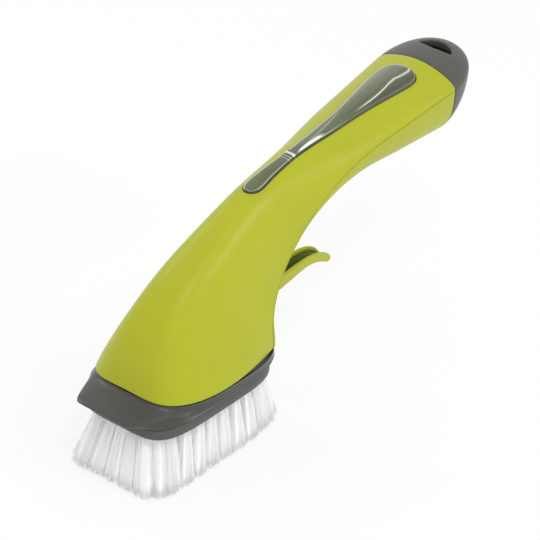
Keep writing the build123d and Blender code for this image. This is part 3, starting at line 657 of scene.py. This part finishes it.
def make_bristles(name, spots, rng, low, high):
    """Tufts of fine strands that open and lean outwards round a packed core, on their slice of
    the backing."""
    points, faces = [], []
    for x, y in spots:
        along = min(abs(2 * (x - MIDDLE_X) / HEAD_LENGTH), 1)
        lean = (x - FLARE_X) * (LENGTH_FLARE if x < FLARE_X else REAR_FLARE)
        tip = np.array([x + lean + rng.gauss(0, 0.12),
                        y * (1 + WIDTH_FLARE + CORNER_FLARE * along ** 5) + TIP_SHIFT
                        + rng.gauss(0, 0.12),
                        0.0])
        root = np.array([x, y, ROOT_Z])
        faces += rod_faces(len(points), len(CORE_LEVELS), CORE_SIDES)
        dents = [0.10 * rng.random() for _ in range(CORE_SIDES)]
        for t in CORE_LEVELS:
            for s in range(CORE_SIDES):
                phi = 2 * math.pi * s / CORE_SIDES
                ring = unit(phi) * CORE_ROOT_R * (1 - t) + tip_shape(phi) * t
                points.append(root + (tip - root) * t + ring * (1 - dents[s]) * (1 - 0.06 * t))
        for _ in range(STRANDS):
            angle = rng.uniform(0, 2 * math.pi)
            away = 1 - 0.3 * rng.random() ** 1.2
            end = tip + tip_shape(angle) * (1 + rng.gauss(0, 0.03)) * away
            end += [rng.gauss(0, 0.3), rng.gauss(0, 0.3), min(abs(rng.gauss(0, 0.5)), 1.6)]
            start = root + unit(angle) * STRAND_ROOT_R * away
            bow = np.array([rng.gauss(0, 0.14), rng.gauss(0, 0.14), 0])
            radius = 0.10 + 0.04 * rng.random()
            faces += rod_faces(len(points), len(STRAND_TAPER), STRAND_SIDES)
            for r, thin in enumerate(STRAND_TAPER):
                t = r / (len(STRAND_TAPER) - 1)
                spot = start + (end - start) * t + bow * (4 * t * (1 - t))
                for s in range(STRAND_SIDES):
                    phi = angle + 2 * math.pi * s / STRAND_SIDES
                    points.append(spot + radius * thin * unit(phi))
    tufts = make_object(name, points, faces)
    loop = outline(PLATE_LOOP, -PLATE_RIM - 0.2, count=400)
    low, high = max(low, loop[:, 0].min()) + 0.1, min(high, loop[:, 0].max()) - 0.1
    part = np.column_stack([np.clip(loop[:, 0], low, high), loop[:, 1]])
    keep = (loop[:, 0] > low) & (loop[:, 0] < high)
    keep |= np.roll(keep, 1) | np.roll(keep, -1)
    backing = prism(name + "_backing", part[keep], PLATE_LOW, BACKING_TOP)
    cut(backing, prism("nozzle_tool", circle(VALVE_X, 0, PLATE_HOLE_R), 0, 60))
    return join([tufts, backing])


# ---- valve spring ----

SPRING_RADIUS, SPRING_WIRE, SPRING_TURNS, PLUNGER_TRAVEL = 3.1, 0.25, 5, 2.8


def make_spring(low, high):
    """The coil of the hidden valve, as its own piece."""
    low, high = low + SPRING_WIRE, high - SPRING_WIRE
    steps, sides = 24 * SPRING_TURNS, 8
    points = []
    for k in range(steps + 1):
        out = unit(2 * math.pi * SPRING_TURNS * k / steps)
        centre = np.array([VALVE_X, 0, low + (high - low) * k / steps]) + out * SPRING_RADIUS
        for s in range(sides):
            phi = 2 * math.pi * s / sides
            points.append(centre + SPRING_WIRE * (out * math.cos(phi)
                                                  + np.array([0, 0, math.sin(phi)])))
    ends = [tuple(reversed(range(sides))), tuple(range(steps * sides, (steps + 1) * sides))]
    return make_object("spring", points, ring_faces(0, steps + 1, sides) + ends)


# ---- end cap ----

AXIS = np.array([math.sin(TILT), 0, math.cos(TILT)])
UP = np.array([-math.cos(TILT), 0, math.sin(TILT)])
SIDE = np.array([0, 1, 0])
CAP_GAP, CAP_POINTS = 0.3, 120
# How full the dome is across, above and below, and how square its end is above and below
FULL_WIDE, FULL_TOP, FULL_LOW, END_TOP, END_LOW = 2.25, 2.67, 1.86, 2, 2.2
HOLE_START, HOLE_TIP, HOLE_INNER, HOLE_OUTER = 12.0, 9.1, 1.7, 5.6


def cap_loop(share, inset=0.0, away=None):
    """Loop round the cap at a share of its length, or at another distance from its foot."""
    full = max(1 - share * share, 0)
    distance = share * CAP_LENGTH if away is None else away
    origin = np.array([CAP_X, 0, CAP_Z]) + AXIS * distance + UP * CAP_RISE * share
    flat = []
    for side, fullness, end in ((1, FULL_TOP, END_TOP), (-1, FULL_LOW, END_LOW)):
        widths, height, power = half_section(ROWS[-1], side)
        rise, reach, part = quarter(widths, power + (end - power) * share)
        y = (part * HALF * full ** (1 / FULL_WIDE) - inset) * reach
        v = side * (height * full ** (1 / fullness) - inset) * rise
        half = np.stack(arch(y, v), -1)
        flat.append(half if side > 0 else half[::-1][1:-1])
    flat = even_loop(np.vstack(flat), CAP_POINTS)
    return origin + flat[:, :1] * SIDE + flat[:, 1:] * UP


def crescent(grow=0.0):
    """Outline of the half-moon hanging hole as (x, y)."""
    x = CAP_X + HOLE_START + HOLE_INNER
    points = []
    for bulge, turn, count in ((HOLE_INNER, 1, 24), (HOLE_OUTER, -1, 40)):
        radius = (HOLE_TIP * HOLE_TIP + bulge * bulge) / (2 * bulge)
        middle = x + (radius - bulge) * turn
        span = math.asin(HOLE_TIP / radius)
        for k in range(count):
            a = span - 2 * span * k / count
            points.append((middle - turn * radius * math.cos(a), turn * radius * math.sin(a)))
    points = np.array(points)
    if grow:
        away = points - [x + 1.8, 0]
        points = points + away / np.linalg.norm(away, axis=1, keepdims=True) * grow
    return points


def make_cap():
    # inside of the skirt, its edge, and the dome outside
    loops = [cap_loop(distance / CAP_LENGTH, 2.4, distance)
             for distance in (9.6, 6.0, 3.0, CAP_GAP + 0.3)]
    for share, inset, beyond in ((0, 2.1, 0), (0, 0.45, 0), (0.004, 0.12, 0.12),
                                 (0.02, 0.0, 0.45)):
        loops.append(cap_loop(share, inset, CAP_GAP + beyond))
    for share in 1 - (1 - np.linspace(0.05, 0.999, 40)) ** 1.25:
        loops.append(cap_loop(min(share, 0.9992)))
    cap = cut(loops_to_mesh("cap_dome", loops), prism("hole_tool", crescent(), 60, 160))
    remesh(cap, 0.42, 6)
    # painted shade makes the walls of the hanging hole darker than the dome
    spots = points_of(cap) - [CAP_X, 0, CAP_Z]
    along, up = spots @ AXIS, spots @ UP
    hole = crescent(0.7) - [CAP_X, 0]
    within = (spots[:, 0] > hole[:, 0].min()) & (spots[:, 0] < hole[:, 0].max())
    within &= np.abs(spots[:, 1]) < HOLE_TIP + 0.8
    full = np.sqrt(np.clip(1 - (along / CAP_LENGTH) ** 2, 0, 1))
    top = CAP_RISE * along / CAP_LENGTH + ROWS[-1][6] * DEPTH * full ** 0.75
    low = CAP_RISE * along / CAP_LENGTH - BELLY * full ** 1.07
    deep = np.clip((top - 2.2 - up) / 2, 0, 1) * np.clip((up - low - 2.2) / 2, 0, 1)
    shade_values(cap, "inside", -deep * within)
    return cap


# ---- trigger lever ----

LEVER_REACH, LEVER_REST, LEVER_DEPTH, LEVER_HALF, LEVER_SKIN = 72.5, 45.5, 8.0, 4.5, 1.6
# Side outline of the lever from root to tip: share of the reach, and of the depth
LEVER_TOP = np.array([(0.10, 0.92), (0.22, 0.90), (0.36, 0.97), (0.50, 1.08), (0.62, 1.17),
                      (0.72, 1.21), (0.80, 1.17), (0.87, 1.04), (0.93, 0.82), (0.975, 0.54),
                      (0.993, 0.30)])
LEVER_LOW = np.array([(0.10, -0.34), (0.22, -0.19), (0.36, -0.01), (0.50, 0.20),
                      (0.62, 0.40), (0.72, 0.55), (0.80, 0.54), (0.87, 0.40), (0.93, 0.18),
                      (0.968, 0.03), (0.985, 0.06), (0.995, 0.14)])
PAD_RISE, PAD_R, HUB_R, HUB_HALF, PIN_HOLE_R = 4.1, 1.6, 4.0, 3.1, 1.55
NECK_LENGTH = 10.15


def channel_loop(top, low, half):
    """Closed U profile between a low and a top point of (x, z), open side up."""
    height = math.hypot(top[0] - low[0], top[1] - low[1])
    deep = max(height - LEVER_SKIN, 0.3)
    corner = min(1.3, height / 2.2)
    rim = min(0.55, LEVER_SKIN / 2.2, deep / 2.2)
    inner = min(0.8, deep / 2.2)
    flat = []
    for y, v, radius, start, end, count in (
            (half - corner, corner, corner, -90, 0, 5),
            (half - rim, height - rim, rim, 0, 90, 4),
            (half - LEVER_SKIN + rim, height - rim, rim, 90, 180, 4),
            (half - LEVER_SKIN - inner, LEVER_SKIN + inner, inner, 0, -90, 5)):
        for k in range(count):
            a = math.radians(start + (end - start) * k / (count - 1))
            flat.append((y + radius * math.cos(a), v + radius * math.sin(a)))
    flat = np.array(flat + [(-y, v) for y, v in flat[::-1]])
    base = np.array([low[0], 0, low[1]])
    up = np.array([top[0] - low[0], 0, top[1] - low[1]]) / max(height, 1e-6)
    return base + flat[:, :1] * SIDE + flat[:, 1:] * up


def make_lever():
    count = 90
    scale, start = (LEVER_REACH, LEVER_DEPTH), (PIVOT_X, LEVER_REST)
    top, low = (spline_points(line * scale + start, count, closed=False)
                for line in (LEVER_TOP, LEVER_LOW))
    loops = []
    for k in range(count):
        end = max(0, (k / (count - 1) - 0.97) / 0.03)
        loops.append(channel_loop(top[k], low[k], LEVER_HALF - 0.5 * end * end))
    lever = loops_to_mesh("lever", loops)
    pad_z = PIVOT_Z + PAD_RISE
    arm_top = pad_z + PAD_R
    neck_low, neck_end = PIVOT_Z - 3.9, PIVOT_X + NECK_LENGTH
    # the arm and the neck stop a hair inside the hub's and the pad's sides
    hub = slab("hub", circle(PIVOT_X, PIVOT_Z, HUB_R), HUB_HALF)
    pad = slab("pad", circle(VALVE_X, pad_z, PAD_R), HUB_HALF)
    arm = slab("arm", [(VALVE_X, arm_top), (PIVOT_X, PIVOT_Z + 4), (PIVOT_X, PIVOT_Z - 1),
                       (VALVE_X + 6.6, arm_top - 3.2), (VALVE_X, pad_z)], HUB_HALF - 0.02)
    neck = slab("neck", [(PIVOT_X, neck_low), (neck_end, neck_low), (neck_end, PIVOT_Z + 2),
                         (PIVOT_X, PIVOT_Z + 2)], HUB_HALF - 0.05)
    join([lever, hub, arm, pad, neck])
    remesh(lever, 0.26, 3)
    cut(lever, slab("pin_tool", circle(PIVOT_X, PIVOT_Z, PIN_HOLE_R), 8))
    # painted shade makes the inside of the channel darker than the outside
    spots = points_of(lever)
    rim, floor_z = (np.interp(spots[:, 0], line[:, 0], line[:, 1]) for line in (top, low))
    deep = np.clip((rim - 0.9 - spots[:, 2]) / 1.5, 0, 1)
    deep *= np.clip((LEVER_HALF - 1.35 - np.abs(spots[:, 1])) / 0.2, 0, 1)
    deep *= spots[:, 2] > floor_z + 0.9
    shade_values(lever, "inside", -deep)
    return lever


# ---- materials ----

def nodes_of(name):
    material = bpy.data.materials.new(name)
    material.use_nodes = True
    tree = material.node_tree
    return material, tree, tree.nodes["Principled BSDF"]


def put(node, values):
    """Values for a node's inputs, by their names."""
    for name, value in values.items():
        node.inputs[name].default_value = value


def linear(rgb):
    return [((c / 255) / 12.92 if c / 255 <= 0.04045 else ((c / 255 + 0.055) / 1.055) ** 2.4)
            for c in rgb]


def noise_on(tree, place, scale, detail):
    """Noise in the object's own space."""
    noise = tree.nodes.new("ShaderNodeTexNoise")
    put(noise, {"Scale": scale, "Detail": detail})
    tree.links.new(place.outputs["Object"], noise.inputs["Vector"])
    return noise.outputs["Fac"]


def uneven_gloss(tree, shader, noise, low, high):
    """Roughness between two values, spread by the noise."""
    spread = tree.nodes.new("ShaderNodeMapRange")
    put(spread, {"To Min": low, "To Max": high})
    tree.links.new(noise, spread.inputs["Value"])
    tree.links.new(spread.outputs["Result"], shader.inputs["Roughness"])


def plastic(name, rgb, rough, vary, grain=0.02, coat=0.0, rough_vary=0.05, blotch=35,
            subsurface_and_glow=0.0, transmission=0.0, specular=0.5):
    """Moulded plastic: faint colour clouds, fine surface grain and uneven gloss."""
    material, tree, shader = nodes_of(name)
    add, link = tree.nodes.new, tree.links.new
    place = add("ShaderNodeTexCoord")
    ramp = add("ShaderNodeValToRGB")
    for element, share, position in zip(ramp.color_ramp.elements, (1 - vary, 1 + vary),
                                        (0.3, 0.7)):
        element.color = [min(c * share, 1) for c in linear(rgb)] + [1]
        element.position = position
    link(noise_on(tree, place, blotch, 4), ramp.inputs["Fac"])
    link(ramp.outputs["Color"], shader.inputs["Base Color"])
    uneven_gloss(tree, shader, noise_on(tree, place, blotch * 4, 6),
                 max(rough - rough_vary, 0.02), rough + rough_vary)
    bump = add("ShaderNodeBump")
    put(bump, {"Strength": grain, "Distance": 0.2 * MM})
    link(noise_on(tree, place, 900, 3), bump.inputs["Height"])
    link(bump.outputs["Normal"], shader.inputs["Normal"])
    put(shader, {"Coat Weight": coat, "Coat Roughness": 0.12, "Specular IOR Level": specular,
                 "Transmission Weight": transmission})
    # with subsurface light comes a faint white glow: painted light that brightens strands lying in
    # each other's shade
    if subsurface_and_glow:
        put(shader, {"Emission Color": (1, 1, 1, 1), "Emission Strength": 0.055,
                     "Subsurface Weight": subsurface_and_glow,
                     "Subsurface Radius": (3 * MM,) * 3})
    return material


def shaded_by(material, name, dark, light):
    """Paints shade and highlights into the base colour, dark or light where the mesh's own values
    say so.
    """
    tree = material.node_tree
    shader = tree.nodes["Principled BSDF"]
    plain = shader.inputs["Base Color"].links[0].from_socket
    value = tree.nodes.new("ShaderNodeAttribute")
    value.attribute_name = name
    for highest, colour in ((-1, dark), (1, light)):
        part = tree.nodes.new("ShaderNodeMapRange")
        put(part, {"From Min": 0, "From Max": highest})
        tree.links.new(value.outputs["Fac"], part.inputs["Value"])
        mix = tree.nodes.new("ShaderNodeMix")
        mix.data_type = "RGBA"
        tree.links.new(part.outputs["Result"], mix.inputs["Factor"])
        tree.links.new(plain, mix.inputs[6])
        mix.inputs[7].default_value = linear(colour) + [1]
        plain = mix.outputs[2]
    tree.links.new(plain, shader.inputs["Base Color"])
    return material


def metal(name, rgb, rough):
    """Bare metal with uneven gloss."""
    material, tree, shader = nodes_of(name)
    place = tree.nodes.new("ShaderNodeTexCoord")
    uneven_gloss(tree, shader, noise_on(tree, place, 600, 2), rough - 0.08, rough + 0.1)
    put(shader, {"Base Color": linear(rgb) + [1], "Metallic": 1})
    return material


def paint(obj, material):
    obj.data.materials.clear()
    obj.data.materials.append(material)


green = plastic("green_plastic", (172, 177, 29), 0.36, 0.03, grain=0.03, specular=0.3)
green_low = plastic("green_plastic_underside", (172, 176, 38), 0.38, 0.03, grain=0.03,
                    specular=0.3)
# the lever's green, with painted shade inside its channel
green_lever = shaded_by(
    plastic("green_plastic_lever", (174, 178, 34), 0.36, 0.03, grain=0.03, specular=0.3),
    "inside", (78, 98, 10), (250, 250, 200))
grey = plastic("grey_plastic", (64, 64, 60), 0.33, 0.05, grain=0.1, specular=0.45)
# the cap's grey, with painted shade on the walls of its hanging hole
grey_cap = shaded_by(
    plastic("grey_plastic_cap", (81, 81, 74), 0.38, 0.04, grain=0.12, specular=0.4),
    "inside", (18, 18, 17), (120, 120, 112))
grey_plate = plastic("grey_plastic_plate", (84, 84, 79), 0.45, 0.05, grain=0.12, specular=0.35)
# the smoked plastic, with painted highlights and painted shade from the lens's own values
smoke = shaded_by(
    plastic("smoked_window", (78, 88, 48), 0.07, 0.14, grain=0.01, coat=0.5, rough_vary=0.03,
            blotch=90),
    "painted_light", (16, 22, 4), (238, 240, 230))
# the nylon's faint glow is painted light that lifts the shade among its strands
nylon = plastic("white_nylon", (253, 253, 255), 0.4, 0.005, grain=0.0, subsurface_and_glow=0.6)
milky = plastic("milky_plastic", (214, 214, 204), 0.4, 0.03)
tank = plastic("tank_plastic", (170, 178, 120), 0.35, 0.03, transmission=0.5)
dark = plastic("dark_plastic", (60, 60, 60), 0.45, 0.05)
rubber = plastic("black_rubber", (26, 26, 27), 0.6, 0.1, grain=0.1)
steel = metal("steel", (196, 197, 200), 0.3)

cad_looks = {
    "soap_tank": tank, "filler_neck": green_low, "outlet_tube": milky,
    "valve_housing": milky, "outlet_nozzle": milky, "valve_plunger": dark,
    "valve_disc": rubber, "stem_seal_ring": rubber, "valve_spring": steel,
    "lever_pin": steel, "pin_retainers": steel, "mechanism_frame": milky,
    "frame_screws": steel, "cap_plug": grey_cap, "cap_seal_ring": rubber,
}
for node, material in cad_looks.items():
    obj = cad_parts[node]
    paint(obj, material)
    shade_smooth(obj)
    sharpen(obj, 30)


# ---- pieces ----

def dress(piece, material, body, node, degrees=None):
    """A piece's material, its hard edges if it has any, and its place in the frame."""
    paint(piece, material)
    if degrees is not None:
        sharpen(piece, degrees)
    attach(piece, body)
    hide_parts(node)


upper, upper_skin = shell("upper_casing", 1)
lower, _ = shell("lower_casing", -1)
rows, columns = upper_skin.shape[:2]
tree = BVHTree.FromPolygons([Vector(p) for p in upper_skin.reshape(-1, 3)],
                            [(i * columns + j, i * columns + j + 1,
                              (i + 1) * columns + j + 1, (i + 1) * columns + j)
                             for i in range(rows - 1) for j in range(columns - 1)])
window = make_window(tree)
cut(upper, prism("window_tool", knife_loop(WINDOW_GAP, 300), 70, ABOVE_ALL))
slot_front, slot_rear, slot_half = -34.7, -18, 5.4
cut(lower, prism("slot_tool", [(slot_front, -slot_half), (slot_rear, -slot_half),
                               (slot_rear, slot_half), (slot_front, slot_half)], 30, 57))
dress(upper, green, "wand", "upper_shell", 38)
dress(lower, green_low, "wand", "lower_shell", 38)
dress(window, smoke, "wand", "soap_window", 38)
dress(make_collar(), grey, "wand", "head_collar", 50)
dress(make_plate(), grey_plate, "wand", "bristle_plate", 50)

rng = random.Random(7)
spots = tuft_places()
xs = sorted({x for x, _ in spots})
third = len(xs) // 3
limits = [-200, (xs[third - 1] + xs[third]) / 2, (xs[-third - 1] + xs[-third]) / 2, 200]
for name, low, high in zip(("front", "middle", "rear"), limits, limits[1:]):
    tufts = make_bristles(name + "_tufts", [s for s in spots if low < s[0] < high], rng,
                          low, high)
    dress(tufts, nylon, "wand", name + "_bristles")

dress(make_lever(), green_lever, "trigger", "trigger_lever", 40)

spring_low, spring_high = (corner[2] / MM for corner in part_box("valve_spring"))
spring = make_spring(spring_low, spring_high)
dress(spring, steel, "wand", "valve_spring", 40)
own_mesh(spring)

dress(make_cap(), grey_cap, "cap", "end_cap")

# ---- floor, light and camera ----

scene = bpy.context.scene
scene.view_settings.view_transform = "Standard"


def seen_directly(tree):
    """1 for what the camera sees itself, in a reflection or through clear plastic, or 0."""
    path = tree.nodes.new("ShaderNodeLightPath")
    ray = path.outputs["Is Camera Ray"]
    for kind in ("Is Glossy Ray", "Is Transmission Ray"):
        most = tree.nodes.new("ShaderNodeMath")
        most.operation = "MAXIMUM"
        tree.links.new(ray, most.inputs[0])
        tree.links.new(path.outputs[kind], most.inputs[1])
        ray = most.outputs[0]
    return ray


def blend(tree, share, first, second, output):
    """Sends a mix of two shaders to the output: the second one's share is given."""
    mix = tree.nodes.new("ShaderNodeMixShader")
    for source, entry in zip((share, first.outputs[0], second.outputs[0]), mix.inputs):
        tree.links.new(source, entry)
    tree.links.new(mix.outputs[0], tree.nodes[output].inputs["Surface"])


def area_light(name, location, target, size, energy):
    data = bpy.data.lights.new(name, "AREA")
    data.shape = "SQUARE"
    data.size = size
    data.energy = energy
    lamp = bpy.data.objects.new(name, data)
    lamp.location = location
    direction = Vector(target) - Vector(location)
    lamp.rotation_euler = direction.to_track_quat("-Z", "Y").to_euler()
    scene.collection.objects.link(lamp)


floor_mesh = bpy.data.meshes.new("floor")
floor_half, floor_z = 3, -0.0002
floor_mesh.from_pydata([(x * floor_half, y * floor_half, floor_z)
                        for x, y in ((-1, -1), (1, -1), (1, 1), (-1, 1))], [], [(0, 1, 2, 3)])
floor = bpy.data.objects.new("floor", floor_mesh)
scene.collection.objects.link(floor)
floor_material, floor_tree, floor_shader = nodes_of("floor_white")
put(floor_shader, {"Base Color": (0.93, 0.93, 0.93, 1), "Roughness": 0.9})
glow = floor_tree.nodes.new("ShaderNodeEmission")
put(glow, {"Strength": 1.0})
part = floor_tree.nodes.new("ShaderNodeMath")
part.operation = "MULTIPLY"
part.inputs[1].default_value = 0.72
floor_tree.links.new(seen_directly(floor_tree), part.inputs[0])
blend(floor_tree, part.outputs[0], floor_shader, glow, "Material Output")
floor.data.materials.append(floor_material)

world = bpy.data.worlds.new("studio")
scene.world = world
world.use_nodes = True
world_tree = world.node_tree
background = world_tree.nodes["Background"]
clear = world_tree.nodes.new("ShaderNodeBackground")
put(background, {"Color": (1, 1, 1, 1), "Strength": 0.86})
put(clear, {"Color": (1, 1, 1, 1), "Strength": 1.0})
blend(world_tree, seen_directly(world_tree), background, clear, "World Output")

area_light("key", (-0.35, -0.45, 1.0), (0, 0, 0.05), 0.35, 1.8)
area_light("fill", (0.30, -0.86, 0.62), (-0.03, 0, 0.06), 0.22, 1.6)
area_light("back", (0.0, 0.9, 0.8), (0, 0, 0.08), 0.3, 1.2)

# The photograph's camera: angles in degrees, focal length and width in pixels
AZIMUTH, ELEVATION, ROLL = -55.323, 31.218, 5.244
FOCAL, PICTURE_WIDTH, SENSOR_WIDTH = 2609.577, 540, 36
CAMERA_TARGET, CAMERA_DISTANCE = (-25.862, -12.194, 70.0), 1125.742

azimuth, elevation, roll = (math.radians(a) for a in (AZIMUTH, ELEVATION, ROLL))
right = Vector((math.cos(azimuth), math.sin(azimuth), 0))
upward = Vector((-math.sin(azimuth) * math.sin(elevation),
                 math.cos(azimuth) * math.sin(elevation), math.cos(elevation)))
backward = right.cross(upward)
c, s = math.cos(roll), math.sin(roll)
right, upward = c * right + s * upward, -s * right + c * upward
camera_data = bpy.data.cameras.new("camera")
camera_data.sensor_fit = "HORIZONTAL"
camera_data.sensor_width = SENSOR_WIDTH
camera_data.lens = FOCAL / PICTURE_WIDTH * SENSOR_WIDTH
camera_data.clip_start = 0.05
camera_data.clip_end = 20
camera = bpy.data.objects.new("camera", camera_data)
position = Vector(CAMERA_TARGET) * MM + backward * CAMERA_DISTANCE * MM
camera.matrix_world = Matrix.Translation(position) @ Matrix(
    (right, upward, backward)).transposed().to_4x4()
scene.collection.objects.link(camera)
scene.camera = camera
